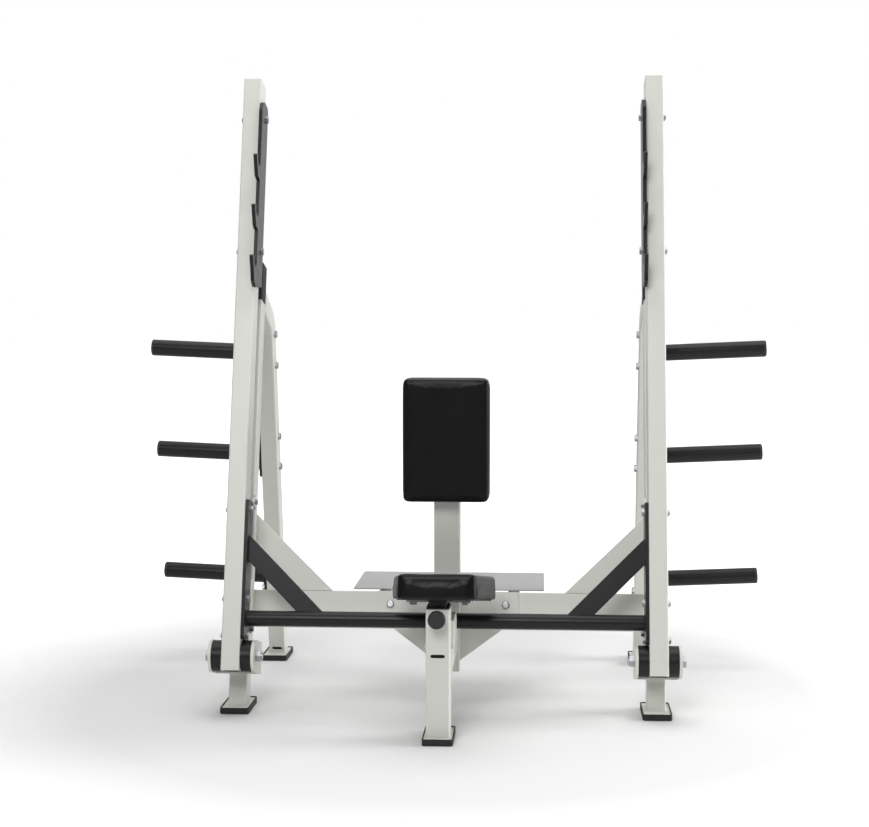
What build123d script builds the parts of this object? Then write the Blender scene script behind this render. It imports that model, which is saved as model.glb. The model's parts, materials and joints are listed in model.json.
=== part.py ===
from build123d import *
import os
from math import atan2, cos, hypot, radians, sin

# Olympic press bench with a rocking bar rack. Millimetres, +Z up, the seated user
# faces -Y and +X is the user's left. Everything is drawn from the point on the floor
# midway between the two rack hinges. The files are moved so that their origin is on
# the floor under the middle of the whole bench's box.

# ---- driving dimensions ----
half_spacing = 565.0        # from the middle plane to each upright's centre
hub_height = 160.0          # rack hinge axis above the floor
lean_deg = 15.0             # uprights and front posts lean back by this much
tube_width = 50.0           # width of every post, upright and rear leg
tube_wall = 3.0
tube_corner = 4.0
clearance = 1.0             # side play between moving plates
origin_y = 252.6            # the files' origin, behind the hinge line

# rack uprights, in the leaned frame: "across" grows to the back, "along" grows upwards
upright_front = -46.0
upright_depth = 80.0
upright_rear = upright_front + upright_depth
upright_bottom = -40.0
upright_top = 1623.0
cap_thickness = 5.0

# fixed front posts and rear legs
post_front = 91.0
post_depth = 60.0
post_rear = post_front + post_depth
post_top = 1118.0
post_below_hub = 250.0      # drawn this far below the hub, then cut at the foot plate
leg_knee = (563.0, 1040.0)      # y, z of the rear leg's knee, on its centre line
leg_base_y = 773.5              # y of the rear leg's centre line at the foot plate
leg_bend_radius = 70.0
leg_rise_deg = 24.8             # the leg's top piece climbs forward at this angle

# feet
foot_width = 78.0
foot_length = 142.0
plate_thickness = 8.0
tray_height = 17.0              # rubber tray under and round each foot plate
tray_rim = 3.0
foot_top = 14.5                 # upper face of the foot plates
front_foot_y = 6.0
rear_foot_y = 683.0
seat_foot_y = -287.0
foot_corner = 8.0

# hinge
drum_radius = 42.0
drum_length = 105.0
cheek_thickness = 8.0
axle_radius = 10.0
bush_radius = 15.0
bush_length = 30.0
running_gap = 0.05

# bar catches and side plates of the rack
catch_thickness = 10.0
catch_edge = -68.0              # front edge between the hooks
hook_front = -131.0
hook_pitch = 144.4
top_hook_along = 1367.5
pocket_width = 42.0
pocket_depth = 24.0
catch_rear = 24.0
catch_top = 1553.0
catch_bolt_along = (1511.0, 1122.0)
side_thickness = 9.0
rack_bolt_across = -6.0
rack_bolt_radius = 6.0
side_bottom = 43.5
side_top = 418.0
side_bolt_along = (394.0, 152.0, 55.0)
foot_bar_centre = (-5.0, 100.5)     # across, along
foot_bar_radius = 21.0

# gas springs, in the leaned frame
spring_x = half_spacing - 19.5
upper_pin = (73.0, 426.0)
lower_pin = (68.0, 77.0)
pin_radius = 5.0
eye_width = 10.0
eye_play = 1.3                  # clearance of the open pivot at the rod's eye
cylinder_radius = 12.0
rod_radius = 4.5

# cross frame behind the posts
beam_depth = 60.0
beam_bottom = 92.0
beam_top = 192.0
centre_plate_width = 390.0

# seat side
seat_leg_width = 60.0
seat_leg_depth = 80.0
seat_leg_front = -269.0
seat_leg_rear = seat_leg_front + seat_leg_depth
seat_leg_top = 341.0
seat_leg_wall = 4.0
leg_slot_width = 36.0       # slot in the leg's front face
leg_slot_gap = 9.0
bushing_depth = 80.0        # plastic guide in the leg's mouth
bushing_flange = 4.0
post_play = 0.1             # the guide is this much wider than the seat post
seat_post_width = 42.0
seat_post_depth = 62.0
seat_post_bottom = 62.0
pop_pin_z = 322.0
index_pitch = 30.0
index_holes = 5
seat_tilt_deg = 10.2
seat_front_y = -309.0
seat_front_top = 437.0
seat_length = 348.0
seat_thickness = 64.0
seat_front_width = 196.0
seat_rear_width = 278.0

# backrest
column_width = 70.0
column_depth = 60.0
column_front = 128.0
column_bottom = 98.0
column_top = 850.0
back_pad_width = 234.0
back_pad_bottom = 567.0
back_pad_top = 902.0
back_pad_depth = 50.0
back_bolt_reach = 80.0      # from the pad's middle to each bolt
board_less = 24.0           # the back board is this much smaller than its pad

# spotter platform
platform_width = 529.0
platform_front = 209.0
platform_rear = 505.0
platform_z = 308.0
platform_thickness = 3.0

# weight horns on the rear legs
horn_radius = 24.0
horn_length = 313.0
horn_tilt_deg = 2.5
horn_heights = {"top": 962.0, "middle": 653.0, "bottom": 269.0}
horn_plate_height = 148.0
horn_plate_width = 56.0
horn_plate_thickness = 7.0
horn_bolt_pitch = 95.0

lean = radians(lean_deg)
sides = {"left": 1, "right": -1}


def leaned(across, along):
    """World y and z of a point given in the leaned frame of the rack."""
    return (
        across * cos(lean) + along * sin(lean),
        hub_height - across * sin(lean) + along * cos(lean),
    )


def side_plane(x):
    """Profile plane facing +X, with sketch axes across and along the lean."""
    return Plane(origin=(x, 0, hub_height), x_dir=(0, cos(lean), -sin(lean)), z_dir=(1, 0, 0))


def front_plane(across):
    """Leaned plane facing the user, with sketch axes X and along the lean."""
    return Plane(origin=(0, *leaned(across, 0)), x_dir=(1, 0, 0), z_dir=(0, -cos(lean), sin(lean)))


def section_plane(along):
    """Cross-section plane of the leaned tubes, with sketch axes X and across."""
    return Plane(origin=(0, *leaned(0, along)), x_dir=(1, 0, 0), z_dir=(0, sin(lean), cos(lean)))


def write(builder, label):
    """Move a finished sub-part to the files' origin, label it and write its STEP file."""
    moved_part = builder.part.moved(Location((0, -origin_y, 0)))
    moved_part.label = label
    export_step(moved_part, f"parts/{label}.step")


def tube_profile(width, depth, wall, corner):
    """Hollow rectangular section in the open sketch."""
    RectangleRounded(width, depth, corner)
    RectangleRounded(width - 2 * wall, depth - 2 * wall, corner - wall / 2, mode=Mode.SUBTRACT)


lean_axis = Axis((0, 0, hub_height), (0, sin(lean), cos(lean)))

os.makedirs("parts", exist_ok=True)


# ---- feet: steel plates in rubber trays ----
foot_centres = [
    (direction * half_spacing, front_edge + foot_length / 2)
    for direction in sides.values()
    for front_edge in (front_foot_y, rear_foot_y)
]
foot_centres.append((0.0, seat_foot_y + foot_length / 2))
tray_floor = foot_top - plate_thickness

with BuildPart() as foot_plates:
    with BuildSketch(Plane.XY.offset(tray_floor)):
        with Locations(foot_centres):
            RectangleRounded(foot_width - 2 * tray_rim, foot_length - 2 * tray_rim, foot_corner - tray_rim)
    extrude(amount=plate_thickness)
write(foot_plates, "foot_plates")

with BuildPart() as foot_pads:
    with BuildSketch():
        with Locations(foot_centres):
            RectangleRounded(foot_width, foot_length, foot_corner)
    extrude(amount=tray_height)
    with BuildSketch(Plane.XY.offset(tray_floor)):
        with Locations(foot_centres):
            RectangleRounded(foot_width - 2 * tray_rim, foot_length - 2 * tray_rim, foot_corner - tray_rim)
    extrude(amount=tray_height - tray_floor, mode=Mode.SUBTRACT)
    chamfer(foot_pads.edges().group_by(Axis.Z)[0], length=1.0)
write(foot_pads, "foot_pads")


# ---- fixed front posts ----
def front_post(x):
    with BuildPart() as post:
        with BuildSketch(section_plane(-post_below_hub)):
            with Locations((x, (post_front + post_rear) / 2)):
                tube_profile(tube_width, post_depth, tube_wall, tube_corner)
        extrude(amount=post_top + post_below_hub)
        split(bisect_by=Plane.XY.offset(foot_top), keep=Keep.TOP)
    return post


# ---- rear legs: one tube with a knee, butted against the front post ----
leg_slope = (leg_base_y - leg_knee[0]) / (leg_knee[1] - foot_top)
leg_angle = atan2(leg_slope, 1)
leg_overrun = 60.0              # drawn this far below the foot plate, then cut
leg_top_run = 260.0             # length of the top piece before it is cut at the post
drain_reach = 80.0              # slot through the leg's faces just above the foot
drain_depth = 60.0
drain_height = 14.0
drain_width = 30.0
drain_gap = 8.0
horn_bolt_radius = 6.0


def leg_plane(x, height):
    """Profile plane facing +X on the rear leg's centre line, with its Y axis up the leg."""
    return Plane(
        origin=(x, leg_base_y - leg_slope * (height - foot_top), height),
        x_dir=(0, cos(leg_angle), sin(leg_angle)),
        z_dir=(1, 0, 0),
    )


def rear_leg(x):
    start = (leg_base_y + leg_slope * leg_overrun, foot_top - leg_overrun)
    rise = radians(leg_rise_deg)
    end = (leg_knee[0] - leg_top_run * cos(rise), leg_knee[1] + leg_top_run * sin(rise))
    with BuildPart() as leg:
        with BuildLine(Plane.YZ.offset(x)) as path:
            FilletPolyline(start, leg_knee, end, radius=leg_bend_radius)
        with BuildSketch(Plane(origin=path.line @ 0, x_dir=(1, 0, 0), z_dir=path.line % 0)):
            tube_profile(tube_width, post_depth, tube_wall, tube_corner)
        sweep(path=path.line)
        split(bisect_by=Plane.XY.offset(foot_top), keep=Keep.TOP)
        split(bisect_by=front_plane(post_rear), keep=Keep.BOTTOM)
        with BuildSketch(Plane.XZ.offset(-(leg_base_y - drain_reach))):
            with Locations((x, foot_top + drain_height)):
                SlotOverall(drain_width, drain_gap)
        extrude(amount=-drain_depth, mode=Mode.SUBTRACT)
        for height in horn_heights.values():
            with BuildSketch(leg_plane(x - tube_width, height)):
                with Locations((0, horn_bolt_pitch / 2), (0, -horn_bolt_pitch / 2)):
                    Circle(horn_bolt_radius + running_gap)
            extrude(amount=2 * tube_width, mode=Mode.SUBTRACT)
    return leg


# ---- rubber caps that the uprights land on when they rock back ----
cap_front = post_front - 6.0
cap_side = tube_width / 2 + 2.0
cap_low = 1010.0
cap_high = 1119.0
cap_open = 20.0                 # the cap has no wall behind the post

with BuildPart() as post_caps:
    for direction in sides.values():
        with BuildSketch(section_plane(cap_low)):
            with Locations((direction * half_spacing, (cap_front + post_rear - 1) / 2)):
                RectangleRounded(2 * cap_side, post_rear - 1 - cap_front, 5)
        extrude(amount=cap_high - cap_low)
    fillet(post_caps.edges().group_by(lean_axis)[-1], radius=4)
    for direction in sides.values():
        with BuildSketch(section_plane(cap_low)):
            with Locations((direction * half_spacing, (post_front + post_rear + cap_open) / 2)):
                Rectangle(tube_width, post_depth + cap_open)
        extrude(amount=post_top - cap_low, mode=Mode.SUBTRACT)
write(post_caps, "post_caps")

for side, direction in sides.items():
    write(front_post(direction * half_spacing), f"front_post_{side}")
    write(rear_leg(direction * half_spacing), f"rear_leg_{side}")


# ---- hinge yokes: two round-nosed cheeks on a back plate ----
cheek_inner = drum_length / 2 + clearance
cheek_radius = 43.0
yoke_back = post_front - cheek_thickness

with BuildPart() as hinge_yokes:
    for direction in sides.values():
        centre = direction * half_spacing
        for start in (centre - cheek_inner - cheek_thickness, centre + cheek_inner):
            with BuildSketch(side_plane(start)):
                Circle(cheek_radius)
                with Locations((post_front / 2, 0)):
                    Rectangle(post_front, 2 * cheek_radius)
                Circle(axle_radius + running_gap, mode=Mode.SUBTRACT)
            extrude(amount=cheek_thickness)
        with BuildSketch(front_plane(post_front)):
            with Locations((centre, 0)):
                Rectangle(2 * (cheek_inner + cheek_thickness), 2 * cheek_radius)
        extrude(amount=cheek_thickness)
write(hinge_yokes, "hinge_yokes")


# ---- hinge bolts with nuts, one per side ----
bolt_head_height = 11.0
bolt_head_radius = 16.0
nut_height = 14.0

with BuildPart() as pivot_bolts:
    for direction in sides.values():
        centre = direction * half_spacing
        outer = centre + direction * (cheek_inner + cheek_thickness)
        inner = centre - direction * (cheek_inner + cheek_thickness)
        with BuildSketch(side_plane(outer)):
            RegularPolygon(bolt_head_radius, 6)
        extrude(amount=direction * bolt_head_height)
        with BuildSketch(side_plane(outer)):
            Circle(axle_radius)
        extrude(amount=-direction * (2 * (cheek_inner + cheek_thickness) + nut_height + 4))
        with BuildSketch(side_plane(inner)):
            RegularPolygon(bolt_head_radius, 6)
        extrude(amount=-direction * nut_height)
write(pivot_bolts, "pivot_bolts")


# ---- cross frame behind the posts ----
post_outer = half_spacing + tube_width / 2

with BuildPart() as cross_beam:
    beam_middle = (beam_bottom + beam_top) / 2
    with BuildSketch(side_plane(-post_outer)):
        with Locations((post_rear + beam_depth / 2, beam_middle)):
            RectangleRounded(beam_depth, beam_top - beam_bottom, tube_corner)
            RectangleRounded(
                beam_depth - 2 * seat_leg_wall, beam_top - beam_bottom - 2 * seat_leg_wall,
                2, mode=Mode.SUBTRACT,
            )
    extrude(amount=2 * post_outer)
write(cross_beam, "cross_beam")

brace_depth = 40.0
brace_band = 100.0              # height of the diagonal where it leaves the post
brace_top = 402.0
brace_foot_x = 322.0

with BuildPart() as beam_braces:
    for direction in sides.values():
        reach = half_spacing - tube_width / 2
        with BuildSketch(front_plane(post_rear + brace_depth)):
            with BuildLine():
                Polyline(
                    (direction * post_outer, brace_top + tube_width),
                    (direction * reach, brace_top),
                    (direction * brace_foot_x, beam_top),
                    (direction * (brace_foot_x + brace_band), beam_top),
                    (direction * post_outer, brace_top - brace_band + tube_width),
                    close=True,
                )
            make_face()
        extrude(amount=brace_depth)
write(beam_braces, "beam_braces")

# ---- centre plate: rectangle over a pointed gusset, bolted to the beam ----
centre_plate_top = 192.0
centre_plate_shoulder = 122.0
centre_plate_point = -22.0
centre_bolt_along = 155.0
centre_bolt_x = (-159.0, 159.0)
centre_bolt_radius = 6.0
half_plate = centre_plate_width / 2

with BuildPart() as centre_plate:
    with BuildSketch(front_plane(post_rear)):
        with BuildLine():
            Polyline(
                (-half_plate, centre_plate_top),
                (half_plate, centre_plate_top),
                (half_plate, centre_plate_shoulder),
                (0, centre_plate_point),
                (-half_plate, centre_plate_shoulder),
                close=True,
            )
        make_face()
        with Locations([(x, centre_bolt_along) for x in centre_bolt_x]):
            Circle(centre_bolt_radius + running_gap, mode=Mode.SUBTRACT)
    extrude(amount=plate_thickness)
write(centre_plate, "centre_plate")

centre_plate_face = post_rear - plate_thickness

with BuildPart() as centre_plate_bolts:
    with BuildSketch(front_plane(centre_plate_face)):
        with Locations([(x, centre_bolt_along) for x in centre_bolt_x]):
            Circle(centre_bolt_radius)
    extrude(amount=-plate_thickness)
    with BuildSketch(front_plane(centre_plate_face)):
        with Locations([(x, centre_bolt_along) for x in centre_bolt_x]):
            Circle(10.5)
    extrude(amount=7)
    fillet(centre_plate_bolts.faces().sort_by(Axis.Y)[:4].edges(), radius=3)
write(centre_plate_bolts, "centre_plate_bolts")


# ---- backrest: column cut to the slope of the centre plate, board and pad ----
board_thickness = 12.0
back_pad_rear = column_front - board_thickness
back_pad_middle = (back_pad_bottom + back_pad_top) / 2
column_rear = column_front + column_depth
back_bolt_radius = 5.0
back_bolt_places = [(0, back_pad_middle - back_bolt_reach), (0, back_pad_middle + back_bolt_reach)]

with BuildPart() as back_column:
    with BuildSketch(Plane.XY.offset(column_bottom)):
        with Locations((0, column_front + column_depth / 2)):
            tube_profile(column_width, column_depth, tube_wall, tube_corner)
    extrude(amount=column_top - column_bottom)
    split(bisect_by=front_plane(centre_plate_face), keep=Keep.TOP)
    with BuildSketch(Plane.XZ.offset(-column_front)):
        with Locations(back_bolt_places):
            Circle(back_bolt_radius + running_gap)
    extrude(amount=-column_depth, mode=Mode.SUBTRACT)
write(back_column, "back_column")

with BuildPart() as back_board:
    with BuildSketch(Plane.XZ.offset(-column_front)):
        with Locations((0, back_pad_middle)):
            RectangleRounded(back_pad_width - board_less, back_pad_top - back_pad_bottom - board_less, 10)
        with Locations(back_bolt_places):
            Circle(back_bolt_radius + running_gap, mode=Mode.SUBTRACT)
    extrude(amount=board_thickness)
write(back_board, "back_board")

with BuildPart() as back_bolts:
    with BuildSketch(Plane.XZ.offset(-column_rear)):
        with Locations(back_bolt_places):
            Circle(back_bolt_radius)
    extrude(amount=column_depth + board_thickness)
    with BuildSketch(Plane.XZ.offset(-column_rear)):
        with Locations(back_bolt_places):
            RegularPolygon(9.5, 6)
    extrude(amount=-6.5)
write(back_bolts, "back_bolts")

with BuildPart() as back_pad:
    with BuildSketch(Plane.XZ.offset(-back_pad_rear)):
        with Locations((0, back_pad_middle)):
            RectangleRounded(back_pad_width, back_pad_top - back_pad_bottom, 14)
    extrude(amount=back_pad_depth)
    fillet(back_pad.edges().group_by(Axis.Y)[0], radius=10)
write(back_pad, "back_pad")


# ---- spotter platform on two arms behind the beam ----
arm_width = 30.0
arm_height = 40.0
arm_x = 180.0
arm_rear = platform_rear - 20.0

with BuildPart() as platform_arms:
    with BuildSketch(Plane.XZ.offset(-arm_rear)):
        with Locations([(x, platform_z - arm_height / 2) for x in (-arm_x, arm_x)]):
            tube_profile(arm_width, arm_height, tube_wall, tube_corner)
    extrude(amount=arm_rear - platform_front + 60)
    split(bisect_by=front_plane(post_rear + beam_depth), keep=Keep.BOTTOM)
write(platform_arms, "platform_arms")

with BuildPart() as platform:
    with BuildSketch(Plane.XY.offset(platform_z)):
        with Locations((0, (platform_front + platform_rear) / 2)):
            RectangleRounded(platform_width, platform_rear - platform_front, 6)
    extrude(amount=platform_thickness)
write(platform, "platform")


# ---- weight horns bolted to the outer faces of the rear legs ----
horn_wall = 4.0
horn_drop = 7.0                 # horn axis below the middle of its plate
horn_cap_length = 7.0
horn_weld_radius = 27.0         # fillet weld round the foot of the tube
horn_weld_length = 2.6
horn_root = 12.0                # the tube starts this far inside its base plate
horn_tilt = radians(horn_tilt_deg)


def horn_axis_plane(direction, height, along_horn):
    """Plane across the horn's axis, that far out from its base plate."""
    x = direction * (post_outer + horn_plate_thickness + along_horn * cos(horn_tilt))
    y = leg_base_y - leg_slope * (height - foot_top)
    z = height - horn_drop + along_horn * sin(horn_tilt)
    return Plane(origin=(x, y, z), x_dir=(0, 1, 0), z_dir=(direction * cos(horn_tilt), 0, sin(horn_tilt)))


def weight_horn(direction, height):
    plate_outer = Plane.YZ.offset(direction * (post_outer + horn_plate_thickness))
    outside = Keep.TOP if direction > 0 else Keep.BOTTOM
    with BuildPart() as horn:
        with BuildSketch(horn_axis_plane(direction, height, -horn_root)):
            Circle(horn_radius)
            Circle(horn_radius - horn_wall, mode=Mode.SUBTRACT)
        extrude(amount=horn_length - horn_cap_length + horn_root)
        with BuildSketch(horn_axis_plane(direction, height, -horn_plate_thickness / 2)):
            Circle(horn_weld_radius)
            Circle(horn_radius - horn_wall, mode=Mode.SUBTRACT)
        extrude(amount=horn_plate_thickness / 2 + horn_weld_length)
        split(bisect_by=plate_outer, keep=outside)
        with BuildSketch(leg_plane(direction * post_outer, height)):
            RectangleRounded(horn_plate_width, horn_plate_height, 5)
            with Locations((0, horn_bolt_pitch / 2), (0, -horn_bolt_pitch / 2)):
                Circle(horn_bolt_radius + running_gap, mode=Mode.SUBTRACT)
        extrude(amount=direction * horn_plate_thickness)
    return horn


for side, direction in sides.items():
    for level, height in horn_heights.items():
        write(weight_horn(direction, height), f"weight_horn_{level}_{side}")

horn_places = [(d, h) for d in sides.values() for h in horn_heights.values()]

with BuildPart() as horn_caps:
    for direction, height in horn_places:
        with BuildSketch(horn_axis_plane(direction, height, horn_length - horn_cap_length)):
            Circle(horn_radius)
        extrude(amount=horn_cap_length)
    ends = horn_caps.faces().filter_by(GeomType.PLANE).sort_by(Axis.X)
    fillet((ends[:3] + ends[-3:]).edges(), radius=4)
write(horn_caps, "horn_caps")

with BuildPart() as horn_bolts:
    for direction, height in horn_places:
        grip = tube_width + horn_plate_thickness
        inner_face = direction * (half_spacing - tube_width / 2)
        outer_face = direction * (post_outer + horn_plate_thickness)
        pair = [(0, horn_bolt_pitch / 2), (0, -horn_bolt_pitch / 2)]
        with BuildSketch(leg_plane(inner_face, height)):
            with Locations(pair):
                Circle(horn_bolt_radius)
        extrude(amount=direction * (grip + 12))
        with BuildSketch(leg_plane(inner_face, height)):
            with Locations(pair):
                RegularPolygon(11, 6)
        extrude(amount=-direction * 8)
        with BuildSketch(leg_plane(outer_face, height)):
            with Locations(pair):
                RegularPolygon(10.5, 6)
        extrude(amount=direction * 9)
write(horn_bolts, "horn_bolts")


# ---- gas springs: clevis on the post, cylinder, rod and its eye ----
clevis_base = 5.0
cheek_gap = eye_width + 1.0
cheek_plate = 6.0
lug_radius = 12.0
post_inner = half_spacing - tube_width / 2


def cheek_profile(pin, root):
    """Round-nosed cheek from its pin back to the face at across = root."""
    Circle(lug_radius)
    with Locations(((root - pin[0]) / 2, 0)):
        Rectangle(root - pin[0], 2 * lug_radius)
    Circle(pin_radius + running_gap, mode=Mode.SUBTRACT)


def pin_plane(x, pin):
    """Profile plane facing +X with its origin on a spring pin's axis."""
    return Plane(origin=(x, *leaned(*pin)), x_dir=(0, cos(lean), -sin(lean)), z_dir=(1, 0, 0))


with BuildPart() as spring_clevises:
    for direction in sides.values():
        inner_cheek = spring_x - cheek_gap / 2 - cheek_plate
        outer_cheek = spring_x + cheek_gap / 2
        for x in (inner_cheek, outer_cheek):
            with BuildSketch(pin_plane(direction * x, upper_pin)):
                cheek_profile(upper_pin, post_front - clevis_base)
            extrude(amount=direction * cheek_plate)
        with BuildSketch(front_plane(post_front)):
            with Locations((direction * spring_x, upper_pin[1])):
                Rectangle(cheek_gap + 2 * cheek_plate, 2 * lug_radius + 20)
        extrude(amount=clevis_base)
write(spring_clevises, "spring_clevises")


def spring_pins(pin, inner, outer):
    """Headed pins along X, one per side, from the inner cheek to the outer one."""
    with BuildPart() as pins:
        for direction in sides.values():
            with BuildSketch(pin_plane(direction * inner, pin)):
                Circle(pin_radius)
            extrude(amount=direction * (outer - inner + 3))
            with BuildSketch(pin_plane(direction * inner, pin)):
                RegularPolygon(8.5, 6)
            extrude(amount=-direction * 7)
            with BuildSketch(pin_plane(direction * outer, pin)):
                Circle(8)
                Circle(pin_radius, mode=Mode.SUBTRACT)
            extrude(amount=direction * 3)
    return pins


lug_outer = spring_x + cheek_gap / 2 + cheek_plate
write(spring_pins(upper_pin, spring_x - cheek_gap / 2 - cheek_plate, lug_outer), "spring_upper_pins")
write(spring_pins(lower_pin, post_inner - side_thickness, lug_outer), "spring_lower_pins")

spring_length = hypot(upper_pin[0] - lower_pin[0], upper_pin[1] - lower_pin[1])
spring_unit = (
    (upper_pin[0] - lower_pin[0]) / spring_length,
    (upper_pin[1] - lower_pin[1]) / spring_length,
)
cylinder_low = 135.0            # distances from the lower pin, along the spring
cylinder_high = spring_length - 26.0
gland_thickness = 14.0
piston_radius = 9.5
eye_radius = 9.5


def spring_plane(direction, distance):
    """Plane across the gas spring's axis, that far above its lower pin."""
    point = leaned(lower_pin[0] + spring_unit[0] * distance, lower_pin[1] + spring_unit[1] * distance)
    rise = (
        spring_unit[0] * cos(lean) + spring_unit[1] * sin(lean),
        -spring_unit[0] * sin(lean) + spring_unit[1] * cos(lean),
    )
    return Plane(origin=(direction * spring_x, *point), x_dir=(1, 0, 0), z_dir=(0, *rise))


def gas_cylinder(direction):
    with BuildPart() as cylinder:
        with BuildSketch(spring_plane(direction, cylinder_low)):
            Circle(cylinder_radius)
        extrude(amount=cylinder_high - cylinder_low)
        fillet(cylinder.edges(), radius=2)
        with BuildSketch(spring_plane(direction, cylinder_high)):
            Circle(rod_radius)
        extrude(amount=spring_length - cylinder_high - 2)
        with BuildSketch(spring_plane(direction, cylinder_low + gland_thickness)):
            Circle(piston_radius)
        extrude(amount=cylinder_high - cylinder_low - gland_thickness - 8, mode=Mode.SUBTRACT)
        with BuildSketch(spring_plane(direction, cylinder_low)):
            Circle(rod_radius + running_gap)
        extrude(amount=gland_thickness, mode=Mode.SUBTRACT)
        with BuildSketch(pin_plane(direction * spring_x - eye_width / 2, upper_pin)):
            Circle(eye_radius)
        extrude(amount=eye_width)
        with BuildSketch(pin_plane(direction * spring_x - eye_width / 2, upper_pin)):
            Circle(pin_radius + running_gap)
        extrude(amount=eye_width, mode=Mode.SUBTRACT)
    return cylinder


def gas_rod(direction):
    piston_at = cylinder_low + gland_thickness + 60
    with BuildPart() as rod:
        with BuildSketch(spring_plane(direction, 4)):
            Circle(rod_radius)
        extrude(amount=piston_at - 4)
        with BuildSketch(spring_plane(direction, piston_at)):
            Circle(piston_radius - running_gap)
        extrude(amount=10)
        with BuildSketch(pin_plane(direction * spring_x - eye_width / 2, lower_pin)):
            Circle(eye_radius)
        extrude(amount=eye_width)
        with BuildSketch(pin_plane(direction * spring_x - eye_width / 2, lower_pin)):
            Circle(pin_radius + eye_play)
        extrude(amount=eye_width, mode=Mode.SUBTRACT)
    return rod


for side, direction in sides.items():
    write(gas_cylinder(direction), f"gas_cylinder_{side}")
    write(gas_rod(direction), f"gas_rod_{side}")


# ---- rocking rack: uprights coped round the hinge drums ----
def rack_upright(direction):
    centre = direction * half_spacing
    with BuildPart() as upright:
        with BuildSketch(section_plane(upright_bottom)):
            with Locations((centre, (upright_front + upright_rear) / 2)):
                tube_profile(tube_width, upright_depth, tube_wall, tube_corner)
        extrude(amount=upright_top - cap_thickness - upright_bottom)
        with BuildSketch(side_plane(centre - tube_width)):
            Circle(drum_radius)
            with Locations((drum_radius, -drum_radius)):
                Rectangle(2 * drum_radius, 2 * drum_radius)
        extrude(amount=2 * tube_width, mode=Mode.SUBTRACT)
        with BuildSketch(side_plane(centre - tube_width)):
            with Locations([(rack_bolt_across, a) for a in side_bolt_along + catch_bolt_along]):
                Circle(rack_bolt_radius + running_gap)
        extrude(amount=2 * tube_width, mode=Mode.SUBTRACT)
    return upright


for side, direction in sides.items():
    write(rack_upright(direction), f"rack_upright_{side}")

with BuildPart() as upright_caps:
    with BuildSketch(section_plane(upright_top - cap_thickness)):
        for direction in sides.values():
            with Locations((direction * half_spacing, (upright_front + upright_rear) / 2)):
                RectangleRounded(tube_width, upright_depth, tube_corner)
    extrude(amount=cap_thickness)
    fillet(upright_caps.edges().group_by(lean_axis)[-1], radius=3)
write(upright_caps, "upright_caps")

with BuildPart() as pivot_drums:
    for direction in sides.values():
        with BuildSketch(side_plane(direction * half_spacing - drum_length / 2)):
            Circle(drum_radius)
            Circle(bush_radius, mode=Mode.SUBTRACT)
        extrude(amount=drum_length)
write(pivot_drums, "pivot_drums")

with BuildPart() as pivot_bushes:
    for direction in sides.values():
        for start in (-drum_length / 2, drum_length / 2 - bush_length):
            with BuildSketch(side_plane(direction * half_spacing + start)):
                Circle(bush_radius)
                Circle(axle_radius + running_gap, mode=Mode.SUBTRACT)
            extrude(amount=bush_length)
write(pivot_bushes, "pivot_bushes")


# ---- bar catches: plates with three hooks on the inner faces ----
hook_heel_across = -103.0       # lower front corner of a hook
hook_heel_drop = 49.0
hook_root_drop = 58.0           # where its underside meets the plate's edge
hook_belly_across = -97.0       # the underside is rounded through this point
hook_belly_share = 0.62
catch_end_drop = 76.0           # plate's lower end, below the lowest hook's tip
catch_end_rear_drop = 52.0
catch_shoulder = 34.0           # the plate's top front corner is cut off in two slants
catch_corner = 11.0


def bar_catch(direction):
    lowest_tip = top_hook_along - 2 * hook_pitch
    with BuildPart() as catch:
        with BuildSketch(side_plane(direction * post_inner)):
            with BuildLine():
                Polyline(
                    (catch_edge, lowest_tip),
                    (catch_edge, catch_top - catch_shoulder),
                    (catch_edge + catch_corner, catch_top - catch_corner),
                    (catch_edge + catch_shoulder, catch_top),
                    (catch_rear - catch_corner, catch_top),
                    (catch_rear, catch_top - catch_corner),
                    (catch_rear, lowest_tip - catch_end_rear_drop),
                    (catch_edge, lowest_tip - catch_end_drop),
                    close=True,
                )
            make_face()
            for hook in range(3):
                tip = top_hook_along - hook * hook_pitch
                root_drop = catch_end_drop if hook == 2 else hook_root_drop
                belly_drop = hook_heel_drop + hook_belly_share * (root_drop - hook_heel_drop)
                with BuildLine():
                    Polyline(
                        (catch_edge, tip),
                        (hook_front + 5, tip),
                        (hook_front, tip - 5),
                        (hook_heel_across, tip - hook_heel_drop),
                        (hook_belly_across, tip - belly_drop),
                        (catch_edge, tip - root_drop),
                        close=True,
                    )
                make_face()
                pocket_bottom = tip - pocket_depth + pocket_width / 2
                with Locations((catch_edge - pocket_width / 2, pocket_bottom)):
                    Circle(pocket_width / 2, mode=Mode.SUBTRACT)
                with Locations((catch_edge - pocket_width / 2, pocket_bottom + pocket_depth / 2)):
                    Rectangle(pocket_width, pocket_depth, mode=Mode.SUBTRACT)
            with Locations([(rack_bolt_across, a) for a in catch_bolt_along]):
                Circle(rack_bolt_radius + running_gap, mode=Mode.SUBTRACT)
        extrude(amount=-direction * catch_thickness)
    return catch


for side, direction in sides.items():
    write(bar_catch(direction), f"bar_catch_{side}")


def through_bolts(alongs, plate):
    """Bolts through the uprights: heads on the inner plate, nuts on the outer face."""
    with BuildPart() as bolts:
        for direction in sides.values():
            places = [(rack_bolt_across, a) for a in alongs]
            with BuildSketch(side_plane(direction * (post_inner - plate))):
                with Locations(places):
                    Circle(rack_bolt_radius)
            extrude(amount=direction * (tube_width + plate + 9))
            with BuildSketch(side_plane(direction * (post_inner - plate))):
                with Locations(places):
                    RegularPolygon(10.5, 6)
            extrude(amount=-direction * 7)
            with BuildSketch(side_plane(direction * post_outer)):
                with Locations(places):
                    RegularPolygon(10.5, 6)
            extrude(amount=direction * 7)
    return bolts


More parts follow.
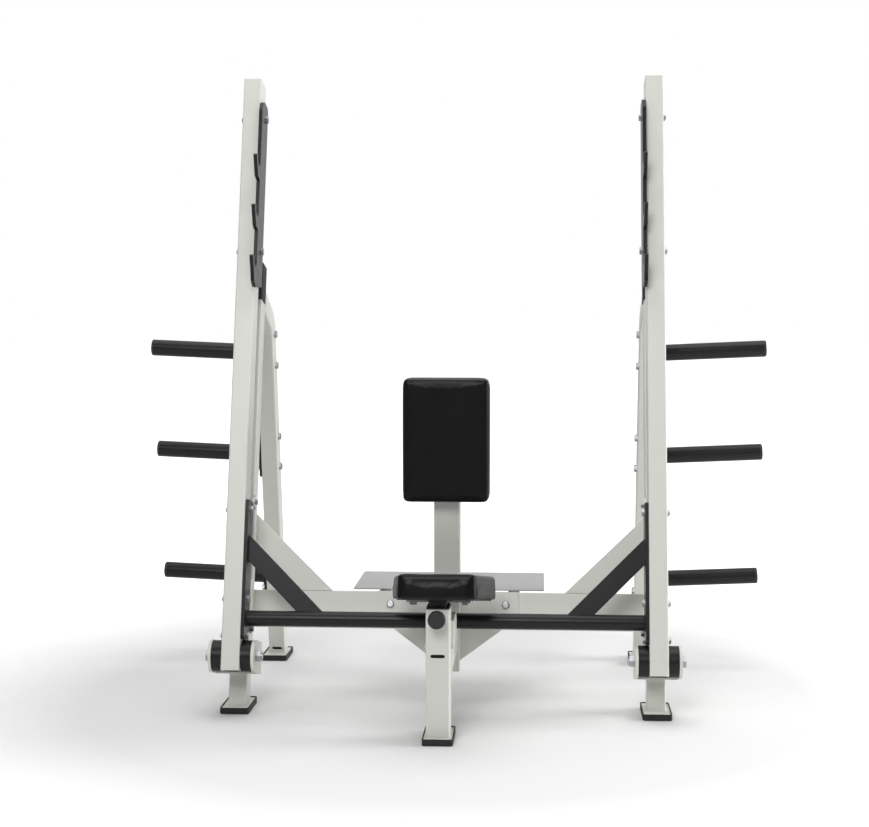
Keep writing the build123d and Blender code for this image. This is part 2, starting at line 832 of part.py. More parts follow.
write(through_bolts(catch_bolt_along, catch_thickness), "catch_bolts")
write(through_bolts(side_bolt_along, side_thickness), "side_plate_bolts")

# ---- side plates with an ear for the gas spring's lower pin ----
side_middle = (side_bottom + side_top) / 2

with BuildPart() as side_plates:
    for direction in sides.values():
        with BuildSketch(side_plane(direction * post_inner)):
            with Locations((-6, side_middle)):
                RectangleRounded(upright_depth - 4, side_top - side_bottom, 10)
            with Locations(((lower_pin[0] + 10) / 2, lower_pin[1])):
                Rectangle(lower_pin[0] - 10, 2 * lug_radius)
            with Locations(lower_pin):
                Circle(lug_radius)
                Circle(pin_radius + running_gap, mode=Mode.SUBTRACT)
            with Locations([(rack_bolt_across, a) for a in side_bolt_along]):
                Circle(rack_bolt_radius + running_gap, mode=Mode.SUBTRACT)
        extrude(amount=-direction * side_thickness)
write(side_plates, "side_plates")

with BuildPart() as spring_lugs:
    for direction in sides.values():
        with BuildSketch(pin_plane(direction * (spring_x + cheek_gap / 2), lower_pin)):
            Circle(lug_radius)
            with Locations(((upright_rear - lower_pin[0]) / 2, 0)):
                Rectangle(lower_pin[0] - upright_rear, 2 * lug_radius)
            Circle(pin_radius + running_gap, mode=Mode.SUBTRACT)
        extrude(amount=direction * cheek_plate)
write(spring_lugs, "spring_lugs")


# ---- foot bar and its braces ----
bar_half = post_inner - side_thickness
foot_brace_depth = 20.0
bar_brace_width = 70.0          # its cut end, on the side plate and on the bar
bar_brace_high = 254.0
bar_brace_low = 104.0
bar_brace_foot_x = 311.0

with BuildPart() as foot_bar:
    with BuildSketch(side_plane(-bar_half)):
        with Locations(foot_bar_centre):
            Circle(foot_bar_radius)
            Circle(foot_bar_radius - tube_wall, mode=Mode.SUBTRACT)
    extrude(amount=2 * bar_half)
write(foot_bar, "foot_bar")

with BuildPart() as foot_bar_braces:
    with BuildSketch(front_plane(foot_bar_centre[0] + foot_brace_depth / 2)):
        for direction in sides.values():
            with BuildLine():
                Polyline(
                    (direction * bar_half, bar_brace_high),
                    (direction * bar_half, bar_brace_high + bar_brace_width),
                    (direction * bar_brace_foot_x, bar_brace_low),
                    (direction * (bar_brace_foot_x + bar_brace_width), bar_brace_low),
                    close=True,
                )
            make_face()
    extrude(amount=foot_brace_depth)
    with BuildSketch(side_plane(-bar_half)):
        with Locations(foot_bar_centre):
            Circle(foot_bar_radius)
            with Locations((0, -foot_bar_radius)):
                Rectangle(2 * foot_bar_radius, 2 * foot_bar_radius)
    extrude(amount=2 * bar_half, mode=Mode.SUBTRACT)
write(foot_bar_braces, "foot_bar_braces")


# ---- seat leg, its beam to the column and the stop for the foot bar ----
seat_leg_y = (seat_leg_front + seat_leg_rear) / 2
seat_beam_low = 158.0
seat_beam_height = 70.0
plunger_radius = 5.0
slot_height = 223.0

with BuildPart() as seat_leg:
    with BuildSketch(Plane.XY.offset(foot_top)):
        with Locations((0, seat_leg_y)):
            tube_profile(seat_leg_width, seat_leg_depth, seat_leg_wall, tube_corner)
    extrude(amount=seat_leg_top - foot_top)
    with BuildSketch(Plane.XZ.offset(-seat_leg_front + 5)):
        with Locations((0, slot_height)):
            SlotOverall(leg_slot_width, leg_slot_gap)
        with Locations((0, pop_pin_z)):
            Circle(plunger_radius + 0.5)
    extrude(amount=-20, mode=Mode.SUBTRACT)
write(seat_leg, "seat_leg")

with BuildPart() as leg_bushing:
    with BuildSketch(Plane.XY.offset(seat_leg_top - bushing_depth)):
        with Locations((0, seat_leg_y)):
            RectangleRounded(
                seat_leg_width - 2 * seat_leg_wall,
                seat_leg_depth - 2 * seat_leg_wall,
                tube_corner - seat_leg_wall / 2,
            )
    extrude(amount=bushing_depth)
    with BuildSketch(Plane.XY.offset(seat_leg_top)):
        with Locations((0, seat_leg_y)):
            RectangleRounded(
                seat_leg_width - bushing_flange,
                seat_leg_depth - bushing_flange,
                tube_corner,
            )
    extrude(amount=bushing_flange)
    with BuildSketch(Plane.XY.offset(seat_leg_top - bushing_depth)):
        with Locations((0, seat_leg_y)):
            Rectangle(seat_post_width + post_play, seat_post_depth + post_play)
    extrude(amount=bushing_depth + bushing_flange, mode=Mode.SUBTRACT)
    with BuildSketch(Plane.XZ.offset(-seat_leg_front + 5)):
        with Locations((0, pop_pin_z)):
            Circle(plunger_radius + 0.5)
    extrude(amount=-20, mode=Mode.SUBTRACT)
write(leg_bushing, "leg_bushing")

with BuildPart() as seat_beam:
    with BuildSketch(Plane.XZ.offset(-column_front)):
        with Locations((0, seat_beam_low + seat_beam_height / 2)):
            tube_profile(seat_leg_width, seat_beam_height, tube_wall, tube_corner)
    extrude(amount=column_front - seat_leg_rear)
write(seat_beam, "seat_beam")

stop_width = 71.0
stop_top = 298.0
stop_nose = -32.0
stop_nose_low = 246.0
stop_nose_high = 272.0
stop_nose_corner = 28.0
seat_beam_top = seat_beam_low + seat_beam_height

with BuildPart() as bar_stop:
    with BuildSketch(Plane.YZ.offset(-stop_width / 2)):
        with BuildLine():
            Polyline(
                (stop_nose, stop_nose_low),
                (stop_nose, stop_nose_high),
                (stop_nose - stop_nose_corner, stop_top),
                (seat_leg_rear, stop_top),
                (seat_leg_rear, seat_beam_top),
                (stop_nose - stop_nose_corner, seat_beam_top),
                close=True,
            )
        make_face()
    extrude(amount=stop_width)
    nose_edges = bar_stop.edges().filter_by(Axis.X).filter_by_position(Axis.Y, -80, 0)
    fillet(nose_edges, radius=11)
write(bar_stop, "bar_stop")

with BuildPart() as bar_stop_pad:
    with BuildSketch(Plane.XZ.offset(-stop_nose)):
        with Locations((0, (stop_nose_low + stop_nose_high) / 2)):
            RectangleRounded(stop_width - 12, 12, 3)
    extrude(amount=-4)
write(bar_stop_pad, "bar_stop_pad")


# ---- pop pin: barrel, plunger and knob ----
barrel_length = 20.0
barrel_front = seat_leg_front - barrel_length
pin_nose = seat_leg_y - seat_post_depth / 2 - 0.5
knob_rear = barrel_front - 7.0
knob_depth = 22.0
knob_radius = 22.0

with BuildPart() as pin_barrel:
    with BuildSketch(Plane.XZ.offset(-seat_leg_front)):
        with Locations((0, pop_pin_z)):
            Circle(13)
            Circle(plunger_radius + running_gap, mode=Mode.SUBTRACT)
    extrude(amount=barrel_length)
    chamfer(pin_barrel.faces().sort_by(Axis.Y)[0].outer_wire().edges(), length=1.5)
write(pin_barrel, "pin_barrel")

with BuildPart() as pop_pin:
    with BuildSketch(Plane.XZ.offset(-knob_rear)):
        with Locations((0, pop_pin_z)):
            Circle(knob_radius)
    extrude(amount=knob_depth)
    fillet(pop_pin.edges(), radius=4)
    with BuildSketch(Plane.XZ.offset(-knob_rear)):
        with Locations((0, pop_pin_z)):
            Circle(plunger_radius)
    extrude(amount=-(pin_nose - knob_rear))
write(pop_pin, "pop_pin")


# ---- sliding seat: post, bracket, board and pad ----
seat_tilt = radians(seat_tilt_deg)
seat_board_thickness = 10.0
bracket_thickness = 5.0


def seat_plane(below_top):
    """Plane parallel to the seat's tilted top, with X across and Y to the back."""
    return Plane(
        origin=(
            0,
            seat_front_y - below_top * sin(seat_tilt),
            seat_front_top - below_top * cos(seat_tilt),
        ),
        x_dir=(1, 0, 0),
        z_dir=(0, sin(seat_tilt), cos(seat_tilt)),
    )


board_inset = 12.0
pad_height = seat_thickness - 3.0      # the pad wraps round all but 3 mm of the board
post_reach = (seat_leg_y - seat_front_y) / cos(seat_tilt)     # along the seat to the post
crossbar_width = 36.0
seat_bolt_x = 67.0
seat_bolt_reach = post_reach + seat_post_depth / 2 + 4 + crossbar_width / 2
seat_bolt_radius = 5.0
seat_bolt_places = [(-seat_bolt_x, seat_bolt_reach), (seat_bolt_x, seat_bolt_reach)]


def seat_outline(inset):
    """Tapered outline of the seat, narrower in front."""
    Polygon(
        (-seat_front_width / 2 + inset, inset),
        (seat_front_width / 2 - inset, inset),
        (seat_rear_width / 2 - inset, seat_length - inset),
        (-seat_rear_width / 2 + inset, seat_length - inset),
        align=None,
    )


with BuildPart() as seat_pad:
    with BuildSketch(seat_plane(pad_height)) as outline:
        seat_outline(0)
        fillet(outline.vertices(), radius=16)
    extrude(amount=pad_height)
    with BuildSketch(seat_plane(seat_thickness)) as outline:
        seat_outline(board_inset)
        fillet(outline.vertices(), radius=10)
    extrude(amount=seat_board_thickness, mode=Mode.SUBTRACT)
    fillet(seat_pad.edges().group_by(Axis((0, 0, 0), (0, sin(seat_tilt), cos(seat_tilt))))[-1], radius=9)
write(seat_pad, "seat_pad")

with BuildPart() as seat_board:
    with BuildSketch(seat_plane(seat_thickness)) as outline:
        seat_outline(board_inset)
        fillet(outline.vertices(), radius=10)
        with Locations(seat_bolt_places):
            Circle(seat_bolt_radius + running_gap, mode=Mode.SUBTRACT)
    extrude(amount=seat_board_thickness)
write(seat_board, "seat_board")

bracket_bottom = seat_plane(seat_thickness + bracket_thickness)

with BuildPart() as seat_bracket:
    with BuildSketch(bracket_bottom):
        with Locations((0, post_reach)):
            RectangleRounded(seat_post_width + 6, seat_post_depth + 8, 6)
    extrude(amount=bracket_thickness)
write(seat_bracket, "seat_bracket")

with BuildPart() as seat_crossbar:
    with BuildSketch(bracket_bottom):
        with Locations((0, seat_bolt_reach)):
            RectangleRounded(2 * seat_bolt_x + 34, crossbar_width, 8)
        with Locations(seat_bolt_places):
            Circle(seat_bolt_radius + running_gap, mode=Mode.SUBTRACT)
    extrude(amount=bracket_thickness)
write(seat_crossbar, "seat_crossbar")

with BuildPart() as seat_bolts:
    with BuildSketch(bracket_bottom):
        with Locations(seat_bolt_places):
            Circle(seat_bolt_radius)
    extrude(amount=bracket_thickness + seat_board_thickness)
    with BuildSketch(bracket_bottom):
        with Locations(seat_bolt_places):
            RegularPolygon(9.5, 6)
    extrude(amount=-6.5)
write(seat_bolts, "seat_bolts")

with BuildPart() as seat_post:
    with BuildSketch(Plane.XY.offset(seat_post_bottom)):
        with Locations((0, seat_leg_y)):
            tube_profile(seat_post_width, seat_post_depth, 4, 3)
    extrude(amount=seat_front_top - seat_post_bottom)
    split(bisect_by=seat_plane(seat_thickness + bracket_thickness), keep=Keep.BOTTOM)
    with BuildSketch(Plane.XZ.offset(-seat_leg_front + 5)):
        with Locations([(0, pop_pin_z - i * index_pitch) for i in range(index_holes)]):
            Circle(plunger_radius + 0.5)
    extrude(amount=-25, mode=Mode.SUBTRACT)
write(seat_post, "seat_post")
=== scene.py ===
"""Looks of the olympic press bench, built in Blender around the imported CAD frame."""
import json
import math

import bmesh
import bpy
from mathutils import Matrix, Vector


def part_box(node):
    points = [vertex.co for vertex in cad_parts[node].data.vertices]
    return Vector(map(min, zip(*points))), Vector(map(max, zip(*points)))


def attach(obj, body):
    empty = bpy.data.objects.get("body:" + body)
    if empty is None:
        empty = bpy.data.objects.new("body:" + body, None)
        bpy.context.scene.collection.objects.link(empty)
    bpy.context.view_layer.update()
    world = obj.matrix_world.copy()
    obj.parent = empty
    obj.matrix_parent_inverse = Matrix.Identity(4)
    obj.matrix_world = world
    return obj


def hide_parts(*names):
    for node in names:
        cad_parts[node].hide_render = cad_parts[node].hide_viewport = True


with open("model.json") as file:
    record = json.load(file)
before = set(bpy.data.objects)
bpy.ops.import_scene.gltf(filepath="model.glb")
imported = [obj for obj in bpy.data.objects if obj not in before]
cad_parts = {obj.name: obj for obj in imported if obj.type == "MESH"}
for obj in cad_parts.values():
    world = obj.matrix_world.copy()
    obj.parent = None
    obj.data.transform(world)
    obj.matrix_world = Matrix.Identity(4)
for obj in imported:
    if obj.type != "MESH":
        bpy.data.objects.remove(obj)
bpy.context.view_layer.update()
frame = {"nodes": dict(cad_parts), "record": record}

nodes = frame["nodes"]

seat_tilt = math.radians(10.2)

# ---- camera: position in metres, aim from two angles ----
camera_place = (0.2631, -4.6816, 1.1075)
camera_turn = 0.065             # radians towards -X
camera_dip = 0.0664             # radians below the horizon
camera_lens = 70.09             # mm on a 36 mm sensor

# ---- colours, linear ----
off_white = (0.73, 0.735, 0.68)
paint_black = (0.013, 0.013, 0.014)
zinc_grey = (0.42, 0.43, 0.44)
vinyl_black = (0.0042, 0.0042, 0.0046)
rubber_black = (0.012, 0.012, 0.012)
floor_white = (0.86, 0.86, 0.86)

# ---- texture scales: features per metre, roughly ----
cloud_scale = 9.0
gloss_scale = 38.0
peel_scale = 900.0
plating_scale = 140.0
moulding_scale = 30.0
vinyl_scale = 12.0
leather_scale = 620.0
vinyl_gloss = 0.16

# ---- stuffed pads, in metres unless said ----
pad_voxel = 0.004
pad_start_smaller = 0.001       # each face starts this far inside its CAD solid
pad_pressure = 4.0
pad_frames = 20
pad_crown = 0.0016              # the farthest that a point may swell
pad_glued = 0.005               # the vinyl this near the board is stapled down
seat_normal = (0.0, math.sin(seat_tilt), math.cos(seat_tilt))

# ---- weld beads, in metres ----
bead_radius = 0.0028
bead_step = 0.0012
bead_ripple = 0.0042            # from one ripple to the next
bead_sides = 8
outer_share = 0.93              # a tube's inner outline is shorter than this share of its outer one
fewest_rings = 12
same_point = 0.000005           # vertices this near are one
bead_ripple_depth = 0.07        # share of the radius
bead_drift = 0.03               # slower unevenness of the welder's hand
bead_drift_pace = 0.37


def graph(name):
    """A new material, its nodes and links, and its Principled shader."""
    material = bpy.data.materials.new(name)
    material.use_nodes = True
    tree = material.node_tree
    return material, tree.nodes, tree.links, tree.nodes["Principled BSDF"]


def object_coordinates(shader_nodes):
    return shader_nodes.new("ShaderNodeTexCoord").outputs["Object"]


def noise(shader_nodes, links, scale, detail=4.0, roughness=0.5):
    """Noise fixed to the object's own coordinates, in metres."""
    texture = shader_nodes.new("ShaderNodeTexNoise")
    texture.inputs["Scale"].default_value = scale
    texture.inputs["Detail"].default_value = detail
    texture.inputs["Roughness"].default_value = roughness
    links.new(object_coordinates(shader_nodes), texture.inputs["Vector"])
    return texture.outputs["Fac"]


def spread(shader_nodes, links, source, low, high):
    """Map a 0 to 1 value to the range low to high."""
    ramp = shader_nodes.new("ShaderNodeMapRange")
    ramp.inputs["To Min"].default_value = low
    ramp.inputs["To Max"].default_value = high
    links.new(source, ramp.inputs["Value"])
    return ramp.outputs["Result"]


def tint(shader_nodes, links, factor, dark, light):
    mix = shader_nodes.new("ShaderNodeMix")
    mix.data_type = "RGBA"
    mix.inputs["A"].default_value = (*dark, 1.0)
    mix.inputs["B"].default_value = (*light, 1.0)
    links.new(factor, mix.inputs["Factor"])
    return mix.outputs["Result"]


def bump(shader_nodes, links, height, strength, distance):
    node = shader_nodes.new("ShaderNodeBump")
    node.inputs["Strength"].default_value = strength
    node.inputs["Distance"].default_value = distance
    links.new(height, node.inputs["Height"])
    return node.outputs["Normal"]


def powder_coat(name, colour, roughness, variation, specular=0.5):
    """Powder coat: fine orange peel, faint cloudiness of colour and gloss."""
    material, shader_nodes, links, shader = graph(name)
    shader.inputs["Specular IOR Level"].default_value = specular
    darker = tuple(channel * (1 - variation) for channel in colour)
    cloud = noise(shader_nodes, links, cloud_scale, 5.0)
    links.new(tint(shader_nodes, links, cloud, darker, colour), shader.inputs["Base Color"])
    gloss = noise(shader_nodes, links, gloss_scale, 3.0)
    links.new(
        spread(shader_nodes, links, gloss, roughness * 0.85, roughness * 1.2),
        shader.inputs["Roughness"],
    )
    peel = noise(shader_nodes, links, peel_scale, 2.0)
    links.new(bump(shader_nodes, links, peel, 0.12, 0.0004), shader.inputs["Normal"])
    return material


def plated_metal(name, colour, roughness):
    """Zinc or chrome plate with a fine uneven shine."""
    material, shader_nodes, links, shader = graph(name)
    shader.inputs["Metallic"].default_value = 1.0
    dull = tuple(channel * 0.8 for channel in colour)
    patch = noise(shader_nodes, links, plating_scale, 5.0)
    links.new(tint(shader_nodes, links, patch, dull, colour), shader.inputs["Base Color"])
    links.new(
        spread(shader_nodes, links, patch, roughness * 0.7, roughness * 1.3),
        shader.inputs["Roughness"],
    )
    return material


def moulded(name, colour, roughness, grain_scale):
    """Rubber or plastic with a fine matt grain."""
    material, shader_nodes, links, shader = graph(name)
    lighter = tuple(channel * 1.5 + 0.002 for channel in colour)
    patch = noise(shader_nodes, links, moulding_scale, 5.0)
    links.new(tint(shader_nodes, links, patch, colour, lighter), shader.inputs["Base Color"])
    links.new(
        spread(shader_nodes, links, patch, roughness * 0.9, min(1.0, roughness * 1.1)),
        shader.inputs["Roughness"],
    )
    grain = noise(shader_nodes, links, grain_scale, 3.0)
    links.new(bump(shader_nodes, links, grain, 0.2, 0.0005), shader.inputs["Normal"])
    return material


def vinyl(name):
    """Black synthetic leather: cells of grain over soft creases."""
    material, shader_nodes, links, shader = graph(name)
    shader.inputs["Specular IOR Level"].default_value = vinyl_gloss
    patch = noise(shader_nodes, links, vinyl_scale, 5.0)
    lighter = tuple(channel * 1.8 for channel in vinyl_black)
    links.new(tint(shader_nodes, links, patch, vinyl_black, lighter), shader.inputs["Base Color"])
    links.new(spread(shader_nodes, links, patch, 0.3, 0.38), shader.inputs["Roughness"])
    cells = shader_nodes.new("ShaderNodeTexVoronoi")
    cells.feature = "DISTANCE_TO_EDGE"
    cells.inputs["Scale"].default_value = leather_scale
    links.new(object_coordinates(shader_nodes), cells.inputs["Vector"])
    grain = bump(shader_nodes, links, cells.outputs["Distance"], 0.2, 0.0004)
    links.new(grain, shader.inputs["Normal"])
    return material


looks = {
    "white_paint": powder_coat("white_powder_coat", off_white, 0.36, 0.04),
    "black_paint": powder_coat("black_powder_coat", paint_black, 0.34, 0.35, 0.3),
    "platform_paint": powder_coat("grey_platform_coat", (0.4, 0.4, 0.4), 0.5, 0.06),
    "zinc": plated_metal("zinc_plate", zinc_grey, 0.3),
    "chrome": plated_metal("chrome_plate", (0.72, 0.73, 0.74), 0.08),
    "grey_paint": powder_coat("grey_cylinder_paint", (0.4, 0.41, 0.42), 0.3, 0.08),
    "rubber": moulded("black_rubber", rubber_black, 0.7, 700.0),
    "black_plastic": moulded("black_plastic", rubber_black, 0.45, 1200.0),
    "white_plastic": moulded("white_plastic", (0.7, 0.7, 0.66), 0.45, 1200.0),
    "bronze": plated_metal("bush_bronze", (0.4, 0.27, 0.13), 0.4),
    "upholstery": vinyl("black_vinyl"),
    "board": moulded("black_board", (0.02, 0.018, 0.016), 0.6, 300.0),
}

slot_of = {part["node"]: part["material_slot"] for part in frame["record"]["subparts"]}
for node, slot in slot_of.items():
    nodes[node].data.materials.clear()
    nodes[node].data.materials.append(looks[slot])


# ---- stuffed pads in place of the two CAD pads ----
def start_mesh(node):
    """A copy of a CAD pad, a touch smaller, as one even skin."""
    low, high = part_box(node)
    middle = (low + high) / 2
    size = high - low
    scale = Vector([1 - 2 * pad_start_smaller / side for side in size])
    skin = nodes[node].data.copy()
    for vertex in skin.vertices:
        offset = vertex.co - middle
        vertex.co = middle + Vector([offset[axis] * scale[axis] for axis in range(3)])
    return skin


def applied(piece):
    """Replace a piece's mesh by what its modifiers make of it."""
    evaluated = piece.evaluated_get(bpy.context.evaluated_depsgraph_get())
    result = bpy.data.meshes.new_from_object(evaluated)
    piece.modifiers.clear()
    piece.data = result


def swell(piece, outward, base):
    """Blow the skin up by cloth pressure, held at its board, and cap how far it goes."""
    glued = piece.vertex_groups.new(name="glued")
    near = [v.index for v in piece.data.vertices if v.co.dot(outward) < base + pad_glued]
    glued.add(near, 1.0, "REPLACE")
    rest = [vertex.co.copy() for vertex in piece.data.vertices]
    cloth = piece.modifiers.new("stuffing", "CLOTH")
    cloth.settings.use_pressure = True
    cloth.settings.uniform_pressure_force = pad_pressure
    cloth.settings.vertex_group_mass = glued.name
    cloth.settings.effector_weights.gravity = 0.0
    cloth.point_cache.frame_start = 1
    cloth.point_cache.frame_end = pad_frames
    for frame_number in range(1, pad_frames + 1):
        bpy.context.scene.frame_set(frame_number)
    evaluated = piece.evaluated_get(bpy.context.evaluated_depsgraph_get())
    swollen = [vertex.co.copy() for vertex in evaluated.data.vertices]
    piece.modifiers.clear()
    for vertex, start, end in zip(piece.data.vertices, rest, swollen):
        move = end - start
        if move.length > pad_crown:
            move = move.normalized() * pad_crown
        vertex.co = start + move
    bpy.context.scene.frame_set(1)


def stuffed_pad(name, node, body, outward):
    """A firm foam pad under vinyl, in the place of a CAD pad."""
    outward = Vector(outward)
    base = min(vertex.co.dot(outward) for vertex in nodes[node].data.vertices)
    piece = bpy.data.objects.new(name, start_mesh(node))
    bpy.context.collection.objects.link(piece)
    remesh = piece.modifiers.new("skin", "REMESH")
    remesh.mode = "VOXEL"
    remesh.voxel_size = pad_voxel
    applied(piece)
    swell(piece, outward, base)
    finer = piece.modifiers.new("finer", "SUBSURF")
    finer.levels = 1
    applied(piece)
    for polygon in piece.data.polygons:
        polygon.use_smooth = True
    piece.data.materials.clear()
    piece.data.materials.append(looks["upholstery"])
    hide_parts(node)
    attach(piece, body)


stuffed_pad("seat_cushion", "seat_pad", "seat", seat_normal)
stuffed_pad("back_cushion", "back_pad", "frame", (0.0, -1.0, 0.0))


# ---- weld beads where tubes meet plates and other tubes ----
def section_edges(section, axis, place):
    """Cut edges of a mesh at one plane across an axis, in a fixed order."""
    normal = Vector([float(number == axis) for number in range(3)])
    bmesh.ops.remove_doubles(section, verts=section.verts[:], dist=same_point)
    whole = section.verts[:] + section.edges[:] + section.faces[:]
    cut = bmesh.ops.bisect_plane(section, geom=whole, plane_co=normal * place, plane_no=normal)
    section.edges.index_update()
    edges = [item for item in cut["geom_cut"] if isinstance(item, bmesh.types.BMEdge)]
    return sorted(edges, key=lambda edge: edge.index)


def closed_loops(edges):
    """Chain edges into closed loops of points."""
    loops = []
    left = list(edges)
    while left:
        edge = left.pop(0)
        first, here = edge.verts
        loop = [first.co.copy()]
        while here != first:
            loop.append(here.co.copy())
            onward = [other for other in here.link_edges if other in left]
            if not onward:
                break
            left.remove(onward[0])
            here = onward[0].other_vert(here)
        if here == first:
            loops.append(loop)
    return loops


def loop_length(loop):
    return sum((point - loop[index - 1]).length for index, point in enumerate(loop))


def evenly(loop, step):
    """Points at an even spacing round a closed loop."""
    count = max(fewest_rings, round(loop_length(loop) / step))
    spacing = loop_length(loop) / count
    points = []
    travelled = 0.0
    for index, point in enumerate(loop):
        following = loop[(index + 1) % len(loop)]
        run = (following - point).length
        while len(points) * spacing < travelled + run and len(points) < count:
            share = (len(points) * spacing - travelled) / run
            points.append(point.lerp(following, share))
        travelled += run
    return points


def add_bead(beads, loop, axis):
    """One rippled bead round a closed loop that lies across an axis."""
    normal = Vector([float(number == axis) for number in range(3)])
    points = evenly(loop, bead_step)
    rings = []
    for index, point in enumerate(points):
        tangent = (points[(index + 1) % len(points)] - points[index - 1]).normalized()
        side = tangent.cross(normal)
        phase = 2 * math.pi * index * bead_step / bead_ripple
        ripple = bead_ripple_depth * math.sin(phase)
        drift = bead_drift * math.sin(phase * bead_drift_pace)
        size = bead_radius * (1 - bead_ripple_depth + ripple + drift)
        turns = [2 * math.pi * number / bead_sides for number in range(bead_sides)]
        rings.append([
            beads.verts.new(point + (side * math.cos(turn) + normal * math.sin(turn)) * size)
            for turn in turns
        ])
    for index, ring in enumerate(rings):
        following = rings[(index + 1) % len(rings)]
        for number in range(bead_sides):
            after = (number + 1) % bead_sides
            face = beads.faces.new((ring[number], ring[after], following[after], following[number]))
            face.smooth = True


def weld(name, body, joints):
    """Beads round the outer outlines of nodes, each at one place on one numbered axis."""
    beads = bmesh.new()
    for node, axis, place in joints:
        section = bmesh.new()
        section.from_mesh(nodes[node].data)
        loops = closed_loops(section_edges(section, axis, place))
        longest = max(loop_length(loop) for loop in loops)
        for loop in loops:
            if loop_length(loop) > longest * outer_share:
                add_bead(beads, loop, axis)
        section.free()
    bmesh.ops.recalc_face_normals(beads, faces=beads.faces[:])
    mesh = bpy.data.meshes.new(name)
    beads.to_mesh(mesh)
    beads.free()
    mesh.materials.append(nodes[joints[0][0]].data.materials[0])
    piece = bpy.data.objects.new(name, mesh)
    bpy.context.collection.objects.link(piece)
    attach(piece, body)


sides = {"left": 1, "right": -1}
levels = ("top", "middle", "bottom")
weld_inset = 0.0004             # beads sit this far out of the face they join
post_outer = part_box("front_post_left")[1].x
horn_plate = 0.007              # thickness of a horn's base plate
foot_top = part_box("foot_plates")[1].z
column_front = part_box("back_column")[0].y
beam_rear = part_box("cross_beam")[1].y
seat_leg_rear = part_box("seat_leg")[1].y
seat_beam_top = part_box("seat_beam")[1].z
foot_bar_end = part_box("foot_bar")[1].x

weld("horn_welds", "frame", [
    (f"weight_horn_{level}_{side}", 0, direction * (post_outer + horn_plate + weld_inset))
    for level in levels
    for side, direction in sides.items()
])
weld("leg_foot_welds", "frame", [
    (f"{post}_{side}", 2, foot_top + weld_inset)
    for post in ("rear_leg", "front_post")
    for side in sides
])
weld("seat_foot_weld", "frame", [("seat_leg", 2, foot_top + weld_inset)])
weld("seat_beam_welds", "frame", [
    ("seat_beam", 1, column_front - weld_inset),
    ("seat_beam", 1, seat_leg_rear + weld_inset),
])
weld("bar_stop_weld", "frame", [("bar_stop", 2, seat_beam_top + weld_inset)])
weld("platform_arm_welds", "frame", [("platform_arms", 1, beam_rear + weld_inset)])
weld("foot_bar_welds", "rack", [
    ("foot_bar", 0, direction * (foot_bar_end - weld_inset))
    for direction in sides.values()
])


# ---- floor, light and camera ----
floor_glow_start = 1.0          # the floor turns into white paper past here, in metres
floor_glow_full = 2.8
floor_size = 80.0
floor_roughness = 0.9
floor_gloss = 0.1
surround_front = 0.14           # how bright the white room is on the camera's side
surround_back = 0.9             # and behind the object
surround_turns = (0.2, 0.8)     # between these parts of +Y it goes from one to the other


def make_floor():
    bpy.ops.mesh.primitive_plane_add(size=floor_size, location=(0.0, 0.0, 0.0))
    floor = bpy.context.object
    floor.name = "studio_floor"
    material, shader_nodes, links, shader = graph("floor_paint")
    shader.inputs["Base Color"].default_value = (*floor_white, 1.0)
    shader.inputs["Roughness"].default_value = floor_roughness
    shader.inputs["Specular IOR Level"].default_value = floor_gloss
    distance = shader_nodes.new("ShaderNodeVectorMath")
    distance.operation = "LENGTH"
    links.new(object_coordinates(shader_nodes), distance.inputs[0])
    fade = shader_nodes.new("ShaderNodeMapRange")
    fade.inputs["From Min"].default_value = floor_glow_start
    fade.inputs["From Max"].default_value = floor_glow_full
    links.new(distance.outputs["Value"], fade.inputs["Value"])
    shader.inputs["Emission Color"].default_value = (1.0, 1.0, 1.0, 1.0)
    path = shader_nodes.new("ShaderNodeLightPath")
    glow = shader_nodes.new("ShaderNodeMath")
    glow.operation = "MULTIPLY"
    links.new(fade.outputs["Result"], glow.inputs[0])
    links.new(path.outputs["Is Camera Ray"], glow.inputs[1])
    links.new(glow.outputs["Value"], shader.inputs["Emission Strength"])
    floor.data.materials.append(material)


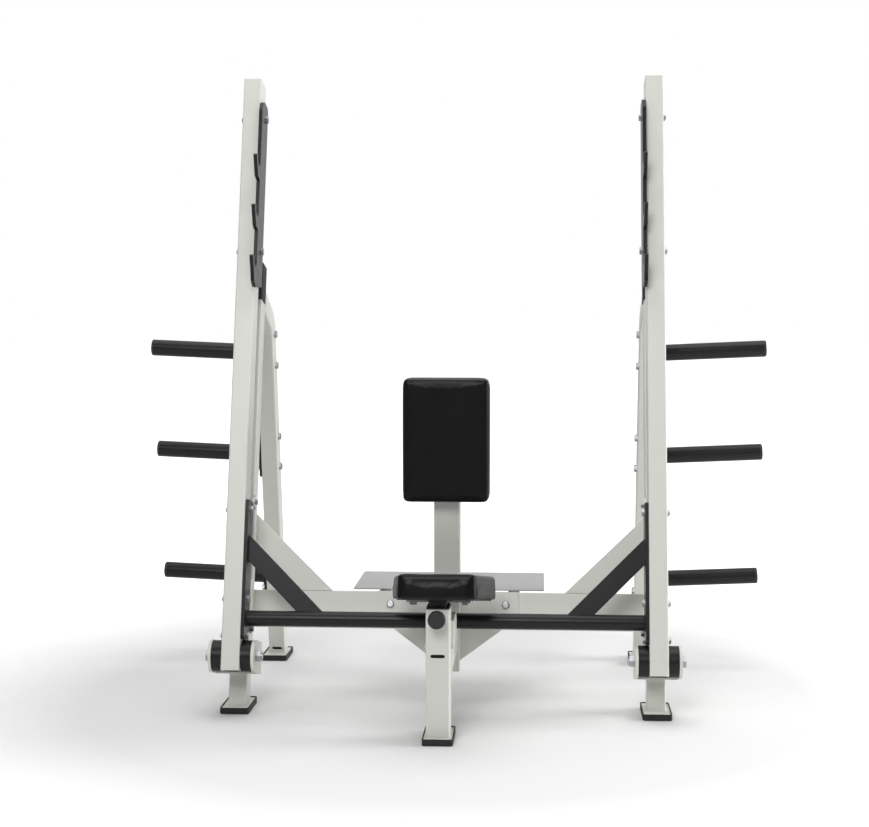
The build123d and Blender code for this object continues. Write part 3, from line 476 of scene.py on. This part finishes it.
def softbox(name, place, aim, size, power):
    data = bpy.data.lights.new(name, "AREA")
    data.shape = "SQUARE"
    data.size = size
    data.energy = power
    lamp = bpy.data.objects.new(name, data)
    lamp.location = place
    lamp.rotation_euler = (Vector(aim) - Vector(place)).to_track_quat("-Z", "Y").to_euler()
    bpy.context.collection.objects.link(lamp)


def make_light():
    world = bpy.data.worlds.new("studio")
    world.use_nodes = True
    background = world.node_tree.nodes["Background"]
    background.inputs["Color"].default_value = (1.0, 1.0, 1.0, 1.0)
    path = world.node_tree.nodes.new("ShaderNodeLightPath")
    tree = world.node_tree
    direction = tree.nodes.new("ShaderNodeTexCoord")
    split = tree.nodes.new("ShaderNodeSeparateXYZ")
    tree.links.new(direction.outputs["Generated"], split.inputs["Vector"])
    room = tree.nodes.new("ShaderNodeMapRange")
    room.inputs["From Min"].default_value = surround_turns[0]
    room.inputs["From Max"].default_value = surround_turns[1]
    room.inputs["To Min"].default_value = surround_front
    room.inputs["To Max"].default_value = surround_back
    tree.links.new(split.outputs["Y"], room.inputs["Value"])
    strength = tree.nodes.new("ShaderNodeMath")
    strength.operation = "MAXIMUM"
    tree.links.new(room.outputs["Result"], strength.inputs[0])
    tree.links.new(path.outputs["Is Camera Ray"], strength.inputs[1])
    tree.links.new(strength.outputs["Value"], background.inputs["Strength"])
    bpy.context.scene.world = world
    softbox("overhead", (0.0, 0.0, 4.4), (0.0, 0.0, 0.0), 3.5, 96.0)
    softbox("right_key", (4.6, 0.2, 1.5), (0.0, 0.0, 0.8), 2.0, 150.0)
    softbox("front_top", (-0.5, -4.2, 3.0), (0.0, -0.2, 0.6), 1.6, 82.0)


def make_camera():
    data = bpy.data.cameras.new("camera")
    data.lens = camera_lens
    data.sensor_width = 36.0
    data.clip_end = 200.0
    camera = bpy.data.objects.new("camera", data)
    camera.location = camera_place
    aim = Vector((
        -math.sin(camera_turn) * math.cos(camera_dip),
        math.cos(camera_turn) * math.cos(camera_dip),
        -math.sin(camera_dip),
    ))
    camera.rotation_euler = aim.to_track_quat("-Z", "Y").to_euler()
    bpy.context.collection.objects.link(camera)
    bpy.context.scene.camera = camera


make_floor()
make_light()
make_camera()
bpy.context.scene.view_settings.view_transform = "Standard"
